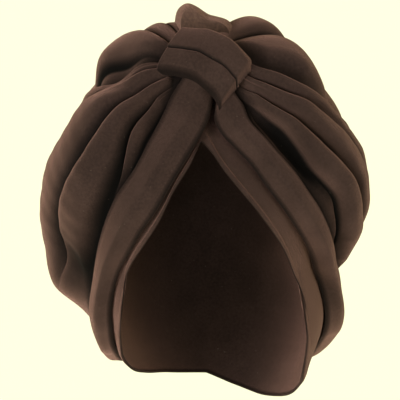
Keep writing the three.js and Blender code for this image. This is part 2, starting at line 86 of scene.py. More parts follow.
# Layers over the cover
GAP = 0.6
CROWN_START = 9.0
DRAPE_LIFT = 3.0
BAND_LIFT = 3.0
BAND_WIDTH = 26.0
BAND_PILLOW = 2.2
BAND_LIP = 2.0
KNOT_LIFT = 5.3
KNOT_EDGE = 11.0
KNOT_WIDTH = 32.0
KNOT_PILLOW = 3.0
KNOT_LIP = 5.0
TUFT_SKIRT = 9.0

# Folds: wander of the grooves, form of the folds and the shade beside a groove
GROOVE_WANDER = 0.007
FOLD_ROUNDNESS = 3.2
FULL_FOLD = 0.16
FOLD_VARIES = 0.1
SHADE_WIDTH = 0.16
SHADE_LEAN = 0.4
SHADE_LEAST = 0.1
SHADE_MOST = 0.22
FLAT_LIGHT = 0.75
DEEP_HOLLOW = 0.55
CROWDED_AT_GROOVES = 0.75
CROWDED_AT_EDGES = 0.8

# Mesh of each piece: rows along it, and columns across it or in each of its folds
CAP_GRID = (60, 260)
CROWN_GRID = (150, 26)
DRAPE_GRID = (170, 30)
BAND_GRID = (240, 46)
KNOT_GRID = (120, 90)
TUFT_GRID = (80, 50)

# Cloth: sheen, sewn edge and the width of its painted shade in mm, stitch length in metres and the scales
# of the patterns
SHEEN = 0.46
SEAM_IN = 3.2
STITCH = 0.0028
STITCH_WIDE = 0.3
STITCH_PULL = 0.6
# width of the painted shade at the sewn edge
EDGE_SHADE_WIDTH = 3.5
NO_EDGE = 99.0
PATCH_SCALE = 38
YARN_SCALE = 550
LINT_SCALE = 900
FUZZ_SCALE = 1300
KNIT_SCALE = 1500

# Stage in metres, watts and degrees, a row per lamp: name, place, size, power
FLOOR_SIZE = 160
FLOOR_AT = -0.40
LAMPS = [
    ("key light", (-1.45, -1.35, 0.05), 1.2, 36),
    ("low light", (-0.25, -1.6, -0.37), 0.5, 12),
    ("fill light", (1.8, -0.8, 0.1), 1.4, 20),
]
LAMP_AIM_DOWN = 0.08
CAMERA_FAR = 1.8
CAMERA_TIP = 6
CAMERA_LOOK = (-0.00466, 0.0, -0.0778)
SENSOR = 36
# Pixels across the photo, and the size of one at the wrap
PHOTO_PIXELS = 400
PHOTO_PIXEL = 0.0007165

# Hem of the cap: lon, lat
HEM = [
    (-180, 159), (-145, 160), (-110, 159.5), (-80, 154.5), (-55.5, 142), (-44, 129), (-39, 115),
    (-37, 104), (-33, 94), (-27, 82), (-21, 68), (-17, 53), (-11, 38), (-6, 25), (4, 31),
    (11, 42), (17, 52), (23, 63), (29, 75), (35, 88), (40, 101), (45, 112), (46, 123),
    (51, 135), (60.5, 145), (78, 152), (97, 157), (126, 160), (155, 160), (180, 159),
]
# Bands, a row per section: front edge lon, lat, back edge lon, lat, stand out
BAND_LEFT = [
    (28, 5, -140, 6, 0), (5, 13, -66, 13, 0), (-5, 22, -52, 20, 0), (-14, 37, -41, 34, 0),
    (-19, 51, -39, 47, 0), (-23, 64, -41, 59, 0), (-29, 77, -44, 72, 0), (-34, 89, -48, 86, 0),
    (-40, 101, -52, 99, 0), (-44, 111, -57, 111, 0), (-48, 121, -63, 122, 0),
    (-53.5, 133, -71, 132, 0), (-65, 145, -82, 141.5, 0), (-87, 152, -101, 145, 1.5),
    (-113, 155, -127, 145, 2), (-146, 156, -153, 144, 0), (-179.4, 155, -179.4, 142, 0),
]
BAND_RIGHT = [
    (50, 5.5, 120, 6, 0), (16, 11, 58, 11, 0), (12, 16, 49, 17, 0), (16, 22, 42, 24, 0),
    (23, 31, 41.5, 33, 0), (28, 41, 42.5, 42, 0), (31, 52, 45.5, 52, 0), (36, 64, 49, 65, 0),
    (42, 77, 54, 79, 0), (49, 90, 59, 91, 1), (57, 104, 67, 104, 2), (65, 116, 78, 116, 4),
    (71, 127, 90, 126, 5), (81, 138, 104, 134, 5), (100, 149, 120, 140, 4), (128, 154, 138, 142, 2),
    (155, 155, 158, 142, 1), (179.4, 155, 179.4, 142, 0),
]
# Drapes, a row per section: tucked front edge lon, lat, rim lon, lat
DRAPE_LEFT = [
    (-60, 8, -112, 9), (-44, 20, -99, 19), (-36, 33, -95, 29), (-34, 46, -96, 42),
    (-36, 60, -99, 57), (-40, 75, -101, 74), (-43, 90, -102, 92), (-48, 106, -103, 108),
    (-57, 121, -104, 125), (-80, 137, -108, 143),
]
DRAPE_RIGHT = [
    (46, 9, 114, 10), (38, 19, 86, 19), (36.5, 31, 80, 31), (38, 44, 86, 44), (41, 58, 94, 58),
    (49, 73, 97, 74), (54, 88, 98, 92), (62, 103, 99, 108), (74, 118, 103, 124), (95, 137, 118, 143),
]
# Lower end of the crown: lon, lat
CROWN_END = [
    (-66, 124), (-80, 136), (-103, 146), (-128, 148.5), (-155, 148), (-180, 146.5), (-205, 147),
    (-230, 147), (-250, 142), (-268, 130), (-280, 121), (-290, 112),
]
# Folds: share across of the front groove at the knot, brow, side and end, height, lean
HEIGHT, LEAN = 5, 6
FOLDS_LEFT = [
    ("tuck", 0, 0, 0, 0, 0, 0),
    ("narrow one", 0.15, 0.07, 0.02, 0.02, 0.4, 0.08),
    ("narrow two", 0.36, 0.2, 0.06, 0.05, 0.6, 0.1),
    ("broad", 0.55, 0.4, 0.11, 0.12, 0.95, 0.14),
    ("middle", 0.72, 0.59, 0.37, 0.46, 0.9, 0.14),
    ("outer", 0.88, 0.84, 0.75, 0.8, 0.55, 0.1),
    ("rim", 1, 1, 1, 1, 0, 0),
]
FOLDS_RIGHT = [
    ("tuck", 0, 0, 0, 0, 0, 0),
    ("hollow", 0.08, 0.1, 0.06, 0.03, -0.5, 0),
    ("inner roll", 0.3, 0.34, 0.2, 0.08, 1, -0.16),
    ("middle roll", 0.5, 0.51, 0.43, 0.32, 0.9, -0.16),
    ("outer roll", 0.75, 0.78, 0.72, 0.6, 0.8, -0.12),
    ("rim", 1, 1, 1, 1, 0, 0),
]
FOLDS_CROWN = [
    ("left tuck", 0, 0, 0, 0, 0, 0),
    ("left petal", 0.2, 0.21, 0.2, 0.24, 1, 0.03),
    ("twist one", 0.31, 0.32, 0.32, 0.33, 0.7, -0.1),
    ("twist two", 0.37, 0.38, 0.39, 0.39, 0.6, -0.1),
    ("back one", 0.42, 0.44, 0.46, 0.45, 0.6, 0),
    ("back two", 0.48, 0.5, 0.53, 0.52, 0.6, 0),
    ("rear roll", 0.53, 0.57, 0.62, 0.6, 0.9, 0.1),
    ("right roll", 0.63, 0.74, 0.79, 0.75, 1, 0.1),
    ("right tuck", 0.88, 0.95, 0.92, 0.86, 0, 0),
    ("end", 1, 1, 1, 1, 0, 0),
]
# Shares along a piece of the knot, brow, side and end
FOLD_PLACES = [0, 0.2, 0.5, 1]
# Knot band: lower edge lon, lat, upper edge lon, lat, height share
KNOT = [
    (-88, 17, -158, 14.5, -0.1), (-87, 15, -166, 13, 0.3), (-84, 10, -182, 11.8, 0.8),
    (-60, 4.6, 168, 11.6, 1), (12, 7.2, 138, 12, 0.8), (20, 11.5, 106, 13.5, 0.3),
    (20, 13.5, 92, 15.5, -0.1),
]
# Twisted end: front edge lon, lat, back edge lon, lat, height share
TUFT = [
    (-153, 17, -157, 25, 0), (-156, 16.5, -162, 27, 0.35), (-163, 16, -168, 27.5, 0.7),
    (-171, 16, -174, 26.5, 0.5), (-181, 16, -183, 24, 0), (-196, 16, -196, 22, 0),
    (-207, 16.5, -206, 20, 0),
]
# Hollows and, below 0, bulges of the cover: lon, lat, wide, long, share off the fullness
PLACES = [
    (-61, 103, 12, 17, 0.9), (50, 52, 8, 22, 0.3), (-92, 30, 12, 9, 0.35), (-85, 100, 26, 26, -0.08),
    (-86, 116, 22, 12, -0.45), (-110, 54, 22, 12, 0.45), (113, 50, 24, 13, 0.5), (80, 100, 24, 14, 0.54),
    (-120, 43, 13, 8, -0.13), (-155, 32, 14, 7, -0.05), (140, 30, 18, 8, -0.07),
    (-140, 23, 14, 8, -0.17),
]


class HEADWRAP_PG_sizes(bpy.types.PropertyGroup):
    head_breadth: bpy.props.FloatProperty(
        name="Head breadth", default=0.156, unit="LENGTH",
        description="Breadth of the head that the cap fits")
    head_length: bpy.props.FloatProperty(
        name="Head length", default=0.194, unit="LENGTH",
        description="Length of the head that the cap fits")
    cover_breadth: bpy.props.FloatProperty(
        name="Cover breadth", default=0.198, unit="LENGTH",
        description="Breadth of the loose cover before its folds")
    cover_height: bpy.props.FloatProperty(
        name="Cover height", default=0.127, unit="LENGTH",
        description="Height of the loose cover above the ears")
    cover_back: bpy.props.FloatProperty(
        name="Cover back", default=0.112, unit="LENGTH",
        description="Depth of the loose cover behind the ears")
    pleat_height: bpy.props.FloatProperty(
        name="Pleat height", default=0.013, unit="LENGTH",
        description="Height of a full pleat")
    knot_arch: bpy.props.FloatProperty(
        name="Knot arch", default=0.0025, unit="LENGTH",
        description="Height of the knot band's arch")
    tuft_height: bpy.props.FloatProperty(
        name="Tuft height", default=0.009, unit="LENGTH",
        description="Height of the twisted end")
    cloth: bpy.props.FloatProperty(
        name="Cloth", default=0.0022, unit="LENGTH",
        description="Thickness of the folded jersey")


class HEADWRAP_PG_colours(bpy.types.PropertyGroup):
    jersey: bpy.props.FloatVectorProperty(
        name="Jersey", subtype="COLOR", size=3, default=(0.0195, 0.0123, 0.0108),
        description="Colour of the jersey")
    # the tuft is the same jersey painted lighter, a painted highlight on the twisted end
    tuft: bpy.props.FloatVectorProperty(
        name="Tuft", subtype="COLOR", size=3, default=(0.05, 0.031, 0.0245),
        description="Colour of the twisted end")
    ground: bpy.props.FloatVectorProperty(
        name="Ground", subtype="COLOR", size=3, default=(1.0, 1.0, 0.69),
        description="Colour of the floor and backdrop")


def mm(name):
    return getattr(bpy.context.scene.headwrap_sizes, name) * 1000.0


def ease(x):
    u = np.clip(x, 0.0, 1.0)
    return u * u * (3.0 - 2.0 * u)


def mix(a, b, t):
    return a + (b - a) * t


def bell(x, wide):
    return np.exp(-((x / wide) ** 2))


def shares(grid):
    """Shares along and across a piece, as a column and a row"""
    rows, columns = grid
    return np.linspace(0, 1, rows)[:, None], np.linspace(0, 1, columns)[None, :]


def crowded(u, share):
    """Even places from 0 to 1 drawn towards both ends"""
    return u - share * np.sin(TURN * u) / TURN


def rounded(edge, radius):
    """Drop of an edge turned to a radius, at a distance from the edge"""
    return radius - np.sqrt(np.clip(radius ** 2 - np.clip(radius - edge, 0, radius) ** 2, 0, None))


def along(places, values, s):
    """Smooth curve through values at the given places"""
    x = np.asarray(places, float)
    v = np.asarray(values, float)
    s = np.asarray(s, float)
    slopes = np.empty(len(v))
    slopes[1:-1] = (v[2:] - v[:-2]) / (x[2:] - x[:-2])
    slopes[0] = (v[1] - v[0]) / (x[1] - x[0])
    slopes[-1] = (v[-1] - v[-2]) / (x[-1] - x[-2])
    i = np.clip(np.searchsorted(x, s, side="right") - 1, 0, len(x) - 2)
    h = x[i + 1] - x[i]
    u = np.clip((s - x[i]) / h, 0.0, 1.0)
    u2, u3 = u * u, u * u * u
    return (v[i] * (2 * u3 - 3 * u2 + 1) + slopes[i] * h * (u3 - 2 * u2 + u)
            + v[i + 1] * (3 * u2 - 2 * u3) + slopes[i + 1] * h * (u3 - u2))


def column(rows, k, s):
    """Smooth curve through one column of a table"""
    return along(np.linspace(0, 1, len(rows)), [row[k] for row in rows], s)


def direction(lon, lat):
    """Unit rays from the centre of the cap"""
    lon = np.asarray(lon, float)
    lat = np.asarray(lat, float)
    tilt = TILT * RAD * (1 - lat / 180)
    x = np.sin(lat * RAD) * np.sin(lon * RAD)
    y = -np.sin(lat * RAD) * np.cos(lon * RAD)
    z = np.cos(lat * RAD)
    return np.stack([x, y * np.cos(tilt) - z * np.sin(tilt), z * np.cos(tilt) + y * np.sin(tilt)], -1)


def oval(d, half, front, back, up, down, power):
    """Reach along the rays of an oval that is squarer above its middle"""
    x, y, z = np.abs(d[..., 0]), d[..., 1], d[..., 2]
    p = mix(2.0, power, ease((z + 0.25) / 0.5))
    deep = np.where(y < 0, front, back)
    tall = mix(down, up, ease((z + 0.2) / 0.4))
    total = (x / half) ** p + (np.abs(y) / deep) ** p + (np.abs(z) / tall) ** p
    return total ** (-1.0 / p)


def level_reach(d):
    """Level part of the rays, never 0"""
    return np.hypot(d[..., 0], d[..., 1]) + 1e-6


def cap_radius(d):
    flat = level_reach(d)
    down = CAP_DROP + SIDE_LEAN * d[..., 0] / flat - FACE_LEAN * d[..., 1] / flat
    long = mm("head_length") / 2 + CAP_WALL
    sides = np.where(d[..., 0] > 0, NECK_FLARE, -LEFT_FLARE_SHARE * NECK_FLARE)
    flare = ease((-d[..., 2] - 0.4) / 0.35) * sides * d[..., 0]
    return flare + oval(d, mm("head_breadth") / 2 + CAP_WALL, long, long, CENTRE_DROP + CAP_TOP, down, 2.0)


def puff_radius(d):
    flat = level_reach(d)
    down = COVER_DOWN * (1 - RIGHT_RISE * d[..., 0] / flat + BACK_DROP * d[..., 1] / flat)
    return oval(d, mm("cover_breadth") / 2, COVER_FRONT, mm("cover_back"), mm("cover_height"), down,
                COVER_SQUARENESS)


def angle_between(a, b):
    lengths = np.linalg.norm(a, axis=-1), np.linalg.norm(b, axis=-1)
    return np.arccos(np.clip((a * b).sum(-1) / lengths[0] / lengths[1], -1, 1))


def from_hem(d):
    """Distance over the cap from the hem in mm"""
    rays = direction([row[0] for row in HEM], [row[1] for row in HEM])
    best = np.full(d.shape[:-1], np.pi)
    for a, b in zip(rays[:-1], rays[1:]):
        ab = b - a
        share = np.clip(((d - a) @ ab) / (ab @ ab), 0, 1)
        best = np.minimum(best, angle_between(d, a + share[..., None] * ab))
    return best * mm("head_length") / 2


def hollow_of(row, lon, lat):
    """Share that a hollow takes off around its place"""
    at_lon, at_lat, wide, tall, share = row
    aside = (((lon - at_lon + 540) % 360) - 180) * np.sin(lat * RAD)
    return share * np.exp(-((aside / wide) ** 2) - (((lat - at_lat) / tall) ** 2))


def openness(lon, lat):
    """Share of the light that the deep hollows of the cover leave"""
    total = 1.0
    for row in PLACES:
        if row[4] >= DEEP_HOLLOW:
            total = total * (1 - hollow_of(row, lon, lat))
    return total


def base_radius(lon, lat, d):
    """Radius of the cover without its folds"""
    reach = np.where(d[..., 0] > 0, RIGHT_REACH * d[..., 0], 0.0)
    full = ease((from_hem(d) - RISE_START + reach) / RISE_RANGE)
    from_knot = angle_between(d, direction(0.0, 0.0)) / RAD
    full = full * (1 - KNOT_DIP * bell(from_knot, KNOT_DIP_ANGLE))
    for row in PLACES:
        full = full * (1 - hollow_of(row, lon, lat))
    cap = cap_radius(d)
    room = puff_radius(d) - cap
    bundle = BUNDLE * bell(from_knot, BUNDLE_ANGLE)
    return cap + 0.5 * (room + np.hypot(room, ROOM_ROUNDING)) * full + bundle


def sections_at(rows, s):
    """Edges of a strip in the plane chart about the knot"""
    places = np.linspace(0, 1, len(rows))

    def edge(i, j):
        a = [row[j] * math.sin(row[i] * RAD) for row in rows]
        b = [row[j] * math.cos(row[i] * RAD) for row in rows]
        return along(places, a, s), along(places, b, s)

    return edge(0, 1), edge(2, 3)


def across(rows, s, t):
    """Angles and rays of a strip between its two edges"""
    (fa, fb), (ba, bb) = sections_at(rows, s)
    a, b = mix(fa, ba, t), mix(fb, bb, t)
    lat = np.hypot(a, b)
    lon = np.degrees(np.arctan2(a, b))
    return lon, lat, direction(lon, lat)


def place(d, radius):
    p = d * radius[..., None]
    p[..., 2] -= CENTRE_DROP
    return p


def layer():
    return mm("cloth") + GAP


def clear_of(rows, lon, lat):
    """Degrees of lon by which a point is clear of the edge lying over it, fewer near the knot"""
    lats = [rows[0][3]]
    lons = [abs(rows[0][2])]
    for row in rows[1:]:
        if row[3] <= lats[-1]:
            break
        lats.append(row[3])
        lons.append(abs(row[2]))
    return (np.abs(lon) - np.interp(lat, lats, lons)) * np.minimum(1, 1.6 * np.sin(lat * RAD))


def fold_grid(folds, grid):
    """Shares along, and the fold and place in it of each column, with fewer columns where it is flat"""
    rows, steps = grid
    ks, us = [], []
    for k, fold in enumerate(folds[:-1]):
        n = steps if fold[HEIGHT] else max(4, steps // 3)
        ks += [k] * n
        us += list(crowded(np.arange(n) / n, CROWDED_AT_GROOVES))
    ks.append(len(folds) - 2)
    us.append(1.0)
    return np.linspace(0, 1, rows)[:, None], np.array(ks), np.array(us)


def fold_light(tall, lean, s, us, swell):
    """Openness to the light, with more shade on the side that a fold leans away from"""
    front = np.clip(SHADE_WIDTH + SHADE_LEAN * lean, SHADE_LEAST, SHADE_MOST)
    rear = np.clip(SHADE_WIDTH - SHADE_LEAN * lean, SHADE_LEAST, SHADE_MOST)
    roll = 1 - (1 - ease(us / front) * ease((1 - us) / rear)) * swell
    dip = 1 - 0.92 * ease((us - 0.15) / 0.8) * swell * (1 - ease((s - 0.45) / 0.2))
    return np.where(tall > 0, roll, np.where(tall < 0, dip, FLAT_LIGHT))


def fold_relief(folds, s, ks, us, swell):
    """Share across, height and openness to the light of each fold column"""
    grooves = np.stack([along(FOLD_PLACES, fold[1:5], s) for fold in folds])
    for k in range(1, len(folds) - 1):
        grooves[k] = grooves[k] + GROOVE_WANDER * np.sin(7.1 * s + 2.3 * k)
    low, high = grooves[ks, :, 0].T, grooves[ks + 1, :, 0].T
    lean = np.array([fold[LEAN] for fold in folds])[ks]
    tall = np.array([fold[HEIGHT] for fold in folds])[ks]
    bow = 1 - np.abs(2 * us - 1) ** FOLD_ROUNDNESS
    arch = bow * ease((high - low) / FULL_FOLD)
    vary = 1 + FOLD_VARIES * np.sin(5.3 * s + 1.9 * ks)
    t = low + (high - low) * (us + lean * arch * swell)
    return t, tall * mm("pleat_height") * arch * swell * vary, fold_light(tall, lean, s, us, swell)


def face_outward(mesh):
    middle = mesh.polygons[len(mesh.polygons) // 2]
    outward = middle.center - Vector((0, 0, -CENTRE_DROP / 1000))
    if middle.normal.dot(outward) < 0:
        bpy.ops.object.mode_set(mode="EDIT")
        bpy.ops.mesh.select_all(action="SELECT")
        bpy.ops.mesh.flip_normals()
        bpy.ops.object.mode_set(mode="OBJECT")


def new_sheet(name, points, spread, node, wall, close=False, deep=None, edge=None):
    """A grid shaped to the points, given its cloth wall.

    spread is the cloth's metres across and along, deep is the painted shade, 0 in a groove and
    1 in the open, edge is the distance to the sewn edge in mm.
    """
    ns, nt = points.shape[:2]
    bpy.ops.object.select_all(action="DESELECT")
    bpy.ops.mesh.primitive_grid_add(x_subdivisions=nt - 1, y_subdivisions=ns - 1, size=1)
    piece = bpy.context.object
    piece.name = name
    mesh = piece.data
    mesh.name = name
    if len(mesh.vertices) != ns * nt:
        raise RuntimeError("the grid of " + name + " has other counts than its points")
    mesh.vertices.foreach_set("co", (points / 1000.0).reshape(-1).astype(np.float32))
    uv = mesh.uv_layers.active.data
    flat = np.empty(len(uv) * 2, np.float32)
    uv.foreach_get("uv", flat)
    flat = flat.reshape(-1, 2) * np.array(spread, np.float32)
    uv.foreach_set("uv", flat.reshape(-1))
    for key, value, plain in (("openness", deep, 1.0), ("sewn_edge", edge, NO_EDGE)):
        attribute = mesh.attributes.new(key, "FLOAT", "POINT")
        values = np.broadcast_to(plain if value is None else value, (ns, nt))
        attribute.data.foreach_set("value", values.reshape(-1).astype(np.float32))
    mesh.update()
    bpy.ops.object.mode_set(mode="EDIT")
    bpy.ops.mesh.select_all(action="SELECT")
    if close:
        bpy.ops.mesh.remove_doubles(threshold=0.00005)
    bpy.ops.mesh.normals_make_consistent(inside=False)
    bpy.ops.object.mode_set(mode="OBJECT")
    face_outward(mesh)
    thick = piece.modifiers.new("cloth wall", "SOLIDIFY")
    thick.thickness = wall / 1000
    thick.offset = -1
    bpy.ops.object.modifier_apply(modifier=thick.name)
    bpy.ops.object.shade_smooth_by_angle(angle=math.radians(65))
    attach(piece, "root")
    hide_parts(node)
    return piece


def soft_waves(p, size, seed):
    """Smooth uneven swell, the same on every run"""
    total = 0.0
    for k in range(5):
        q = seed * 1.7 + k * 2.4
        way = np.array([math.sin(q), math.cos(1.3 * q), math.sin(2.1 * q + 1)])
        total = total + np.sin((p @ way) * TURN / (size * (0.7 + 0.17 * k)) + q)
    return total / 5


def math_of(tree, operation, a, b=None):
    """A math node on two sockets or numbers"""
    node = tree.nodes.new("ShaderNodeMath")
    node.operation = operation
    for socket, value in zip(node.inputs, (a, b)):
        if isinstance(value, (int, float)):
            socket.default_value = value
        elif value is not None:
            tree.links.new(value, socket)
    return node.outputs["Value"]


def ramp_of(tree, factor, low, high):
    """A colour ramp from low to high, each a place and a colour"""
    node = tree.nodes.new("ShaderNodeValToRGB")
    for element, (place_at, colour) in zip(node.color_ramp.elements, (low, high)):
        element.position = place_at
        element.color = (*colour, 1)
    tree.links.new(factor, node.inputs["Fac"])
    return node.outputs["Color"]


def blend_of(tree, factor, a, b, kind="MIX"):
    """A colour blend of two sockets or colours"""
    node = tree.nodes.new("ShaderNodeMix")
    node.data_type = "RGBA"
    node.blend_type = kind
    for key, value in (("Factor", factor), ("A", a), ("B", b)):
        if isinstance(value, (int, float)):
            node.inputs[key].default_value = value
        elif isinstance(value, tuple):
            node.inputs[key].default_value = (*value, 1)
        else:
            tree.links.new(value, node.inputs[key])
    return node.outputs["Result"]


def noise_of(tree, where, scale, detail):
    node = tree.nodes.new("ShaderNodeTexNoise")
    node.inputs["Scale"].default_value = scale
    node.inputs["Detail"].default_value = detail
    tree.links.new(where, node.inputs["Vector"])
    return node.outputs["Fac"]


def attribute_of(tree, name):
    node = tree.nodes.new("ShaderNodeAttribute")
    node.attribute_name = name
    return node.outputs["Fac"]


def times(colour, share):
    return tuple(c * share for c in colour)


def grey(value):
    return (value,) * 3


def yarn_and_ridge_highlight(tree, where, colour):
    """Uneven, heathered colour of the yarn, with a painted highlight on the fold tops"""
    patch = noise_of(tree, where.outputs["Object"], PATCH_SCALE, 4)
    cloth = ramp_of(tree, patch, (0.3, times(colour, 0.75)), (0.72, times(colour, 1.25)))
    strands = noise_of(tree, where.outputs["Object"], YARN_SCALE, 2)
    yarn = ramp_of(tree, strands, (0.3, grey(0.78)), (0.7, grey(1.22)))
    cloth = blend_of(tree, 1, cloth, yarn, "MULTIPLY")
    shape = tree.nodes.new("ShaderNodeNewGeometry")
    # painted highlight: the convex fold tops are painted lighter
    ridge_highlight = ramp_of(tree, shape.outputs["Pointiness"], (0.52, grey(0)), (0.75, grey(0.3)))
    return blend_of(tree, ridge_highlight, cloth, times(colour, 1.6))


def linted(tree, where, cloth):
    """A few pale specks of lint on the cloth"""
    specks = noise_of(tree, where.outputs["Object"], LINT_SCALE, 1)
    sparse = ramp_of(tree, specks, (0.78, grey(0)), (0.82, grey(0.45)))
    return blend_of(tree, sparse, cloth, (0.3, 0.25, 0.2))


def stitch_line(tree, where, edge, run):
    """Distance off the line of stitches beside the sewn edge, and the stitches on it"""
    off_line = math_of(tree, "ABSOLUTE", math_of(tree, "SUBTRACT", edge, SEAM_IN))
    on_line = math_of(tree, "LESS_THAN", off_line, STITCH_WIDE)
    split = tree.nodes.new("ShaderNodeSeparateXYZ")
    tree.links.new(where.outputs["UV"], split.inputs["Vector"])
    beat = math_of(tree, "SINE", math_of(tree, "MULTIPLY", split.outputs[run], TURN / STITCH))
    return off_line, math_of(tree, "MULTIPLY", on_line, math_of(tree, "GREATER_THAN", beat, -0.3))


def knit_bump(tree, where, off_line, stitch):
    """Normal with the knit columns along the cloth, its fuzz and the pull of the stitches"""
    wales = tree.nodes.new("ShaderNodeTexWave")
    wales.wave_profile = "SIN"
    wales.inputs["Scale"].default_value = KNIT_SCALE
    wales.inputs["Distortion"].default_value = 1.2
    wales.inputs["Detail Scale"].default_value = 3
    tree.links.new(where.outputs["UV"], wales.inputs["Vector"])
    fuzz = noise_of(tree, where.outputs["Object"], FUZZ_SCALE, 3)
    pull = math_of(tree, "MULTIPLY", math_of(tree, "LESS_THAN", off_line, STITCH_PULL), -1.0)
    knit = math_of(tree, "ADD", wales.outputs["Fac"], fuzz)
    height = math_of(tree, "ADD", knit, math_of(tree, "ADD", pull, stitch))
    bump = tree.nodes.new("ShaderNodeBump")
    bump.inputs["Strength"].default_value = 0.35
    bump.inputs["Distance"].default_value = 0.0004
    tree.links.new(height, bump.inputs["Height"])
    return bump.outputs["Normal"]


def jersey(name, colour, run):
    """Jersey with its knit, fuzz, lint and seam, painted shade in the grooves and at the sewn edge and a
    painted highlight on the fold tops; run is the UV axis along the sewn edge
    """
    material = bpy.data.materials.new(name)
    material.use_nodes = True
    tree = material.node_tree
    shader = tree.nodes["Principled BSDF"]
    shader.inputs["Roughness"].default_value = 0.95
    shader.inputs["Specular IOR Level"].default_value = 0.15
    shader.inputs["Sheen Roughness"].default_value = 0.5
    shader.inputs["Sheen Tint"].default_value = (0.9, 0.52, 0.45, 1)
    where = tree.nodes.new("ShaderNodeTexCoord")
    light = attribute_of(tree, "openness")
    edge = attribute_of(tree, "sewn_edge")
    # painted light and shade: the colour is darkened in the grooves, hollows and covered places, and
    # lightened in the open
    groove = ramp_of(tree, light, (0.1, grey(0.09)), (0.9, grey(1.25)))
    cloth = blend_of(tree, 1, yarn_and_ridge_highlight(tree, where, colour), groove, "MULTIPLY")
    cloth = linted(tree, where, cloth)
    # painted shade darkens the cloth towards the sewn edge, and stitches run beside it
    edge_shade = ramp_of(tree, math_of(tree, "DIVIDE", edge, EDGE_SHADE_WIDTH), (0.2, grey(0.25)), (1, grey(1)))
    cloth = blend_of(tree, 1, cloth, edge_shade, "MULTIPLY")
    off_line, stitch = stitch_line(tree, where, edge, run)
    cloth = blend_of(tree, math_of(tree, "MULTIPLY", stitch, 0.5), cloth, times(colour, 1.6))
    # the sheen is taken out of the painted shade in the grooves and at the sewn edge
    sheen_out_of_shade = math_of(tree, "MULTIPLY", math_of(tree, "POWER", light, 1.5), edge_shade)
    tree.links.new(cloth, shader.inputs["Base Color"])
    tree.links.new(math_of(tree, "MULTIPLY", sheen_out_of_shade, SHEEN), shader.inputs["Sheen Weight"])
    tree.links.new(knit_bump(tree, where, off_line, stitch), shader.inputs["Normal"])
    return material


def dress(piece, name, colour, run="Y"):
    """Jersey of its own on each piece"""
    piece.data.materials.clear()
    piece.data.materials.append(jersey(name, colour, run))


class HEADWRAP_OT_cap(bpy.types.Operator):
    """Makes the close cap with its doubled face edge"""
    bl_idname = "headwrap.cap"
    bl_label = "Cap"

    def execute(self, context):
        s, t = shares(CAP_GRID)
        lat = column(HEM, 1, t) * (1 - (1 - s) ** 1.15)
        d = direction(column(HEM, 0, t), lat)
        hem = (1 - s) * mm("head_length") / 2 * lat * RAD
        fold = HEM_FOLD * (1 - ease((hem - 0.7 * HEM_FOLD_WIDTH) / (0.3 * HEM_FOLD_WIDTH)))
        waves = 0.15 * soft_waves(place(d, cap_radius(d)), size=46, seed=3)
        points = place(d, cap_radius(d) + fold - rounded(hem, CAP_LIP) + waves)
        piece = new_sheet(
            "fitted_cap_jersey", points, spread=(0.5, 0.24), node="fitted_cap",
            wall=CAP_WALL, close=True, edge=hem)
        dress(piece, "cap jersey", context.scene.headwrap_colours.jersey, "X")
        return {"FINISHED"}


class HEADWRAP_OT_crown(bpy.types.Operator):
    """Makes the loose full crown, gathered to the nape"""
    bl_idname = "headwrap.crown"
    bl_label = "Crown"

    def execute(self, context):
        s, ks, us = fold_grid(FOLDS_CROWN, CROWN_GRID)
        from_knot = 0.3 + 0.7 * ease(s / 0.18)
        to_nape = 1 - 0.999 * ease((s - 0.84) / 0.11)
        swell = from_knot * to_nape
        t, high, deep = fold_relief(FOLDS_CROWN, s, ks, us, swell)
        lon = mix(CROWN_END[0][0], CROWN_END[-1][0], t)
        end = along([-row[0] for row in CROWN_END], [row[1] for row in CROWN_END], -lon)
        lat = mix(CROWN_START, end, s)
        d = direction(lon, lat)
        left = clear_of(DRAPE_LEFT, lon, lat)
        right = clear_of(DRAPE_RIGHT, 360 + lon, lat)
        free = ease((np.where(lon > -180, left, right) - 4.5) / 9)
        radius = base_radius(lon, lat, d) + 2 * GAP + high * free + mm("cloth")
        waves = soft_waves(place(d, radius), size=40, seed=5) * 0.9 * free * swell
        # painted shade in the folds, deeper where the drapes lie over the crown
        piece = new_sheet(
            "crown_jersey", place(d, radius + waves), spread=(0.5, 0.34), node="crown",
            wall=mm("cloth"), deep=deep * (0.45 + 0.55 * free))
        dress(piece, "crown jersey", context.scene.headwrap_colours.jersey)
        return {"FINISHED"}


def drape(name, node, rows, over, folds):
    """A pleated side panel that tucks under the band lying over its front edge"""
    s, ks, us = fold_grid(folds, DRAPE_GRID)
    from_knot = 0.35 + 0.65 * ease(s / 0.3)
    to_end = 1 - ease((s - 0.72) / 0.22)
    swell = from_knot * to_end
    t, high, deep = fold_relief(folds, s, ks, us, swell)
    lon, lat, d = across(rows, s, t)
    free = ease((clear_of(over, lon, lat) - 0.5) / 6)
    sunk = np.where(high < 0, 1 - ease((s - 0.4) / 0.12), 1)
    radius = base_radius(lon, lat, d) + DRAPE_LIFT + layer() + high * free * sunk + mm("cloth")
    waves = soft_waves(place(d, radius), size=30, seed=len(name)) * 0.7 * free * swell
    gathers = 0.6 * bell(s, 0.2) * np.sin(TURN * 9 * t + 3 * np.sin(4 * s)) * free
    # painted shade in the folds, deeper under the band and in the deep hollows of the cover
    piece = new_sheet(
        name, place(d, radius + waves + gathers), spread=(0.11, 0.27), node=node,
        wall=mm("cloth"), deep=deep * (0.3 + 0.7 * free) * openness(lon, lat))
    dress(piece, name.replace("_", " "), bpy.context.scene.headwrap_colours.jersey)


class HEADWRAP_OT_drapes(bpy.types.Operator):
    """Makes the pleated side drapes"""
    bl_idname = "headwrap.drapes"
    bl_label = "Drapes"

    def execute(self, context):
        drape("drape_left_jersey", "drape_left", DRAPE_LEFT, BAND_LEFT, FOLDS_LEFT)
        drape("drape_right_jersey", "drape_right", DRAPE_RIGHT, BAND_RIGHT, FOLDS_RIGHT)
        return {"FINISHED"}


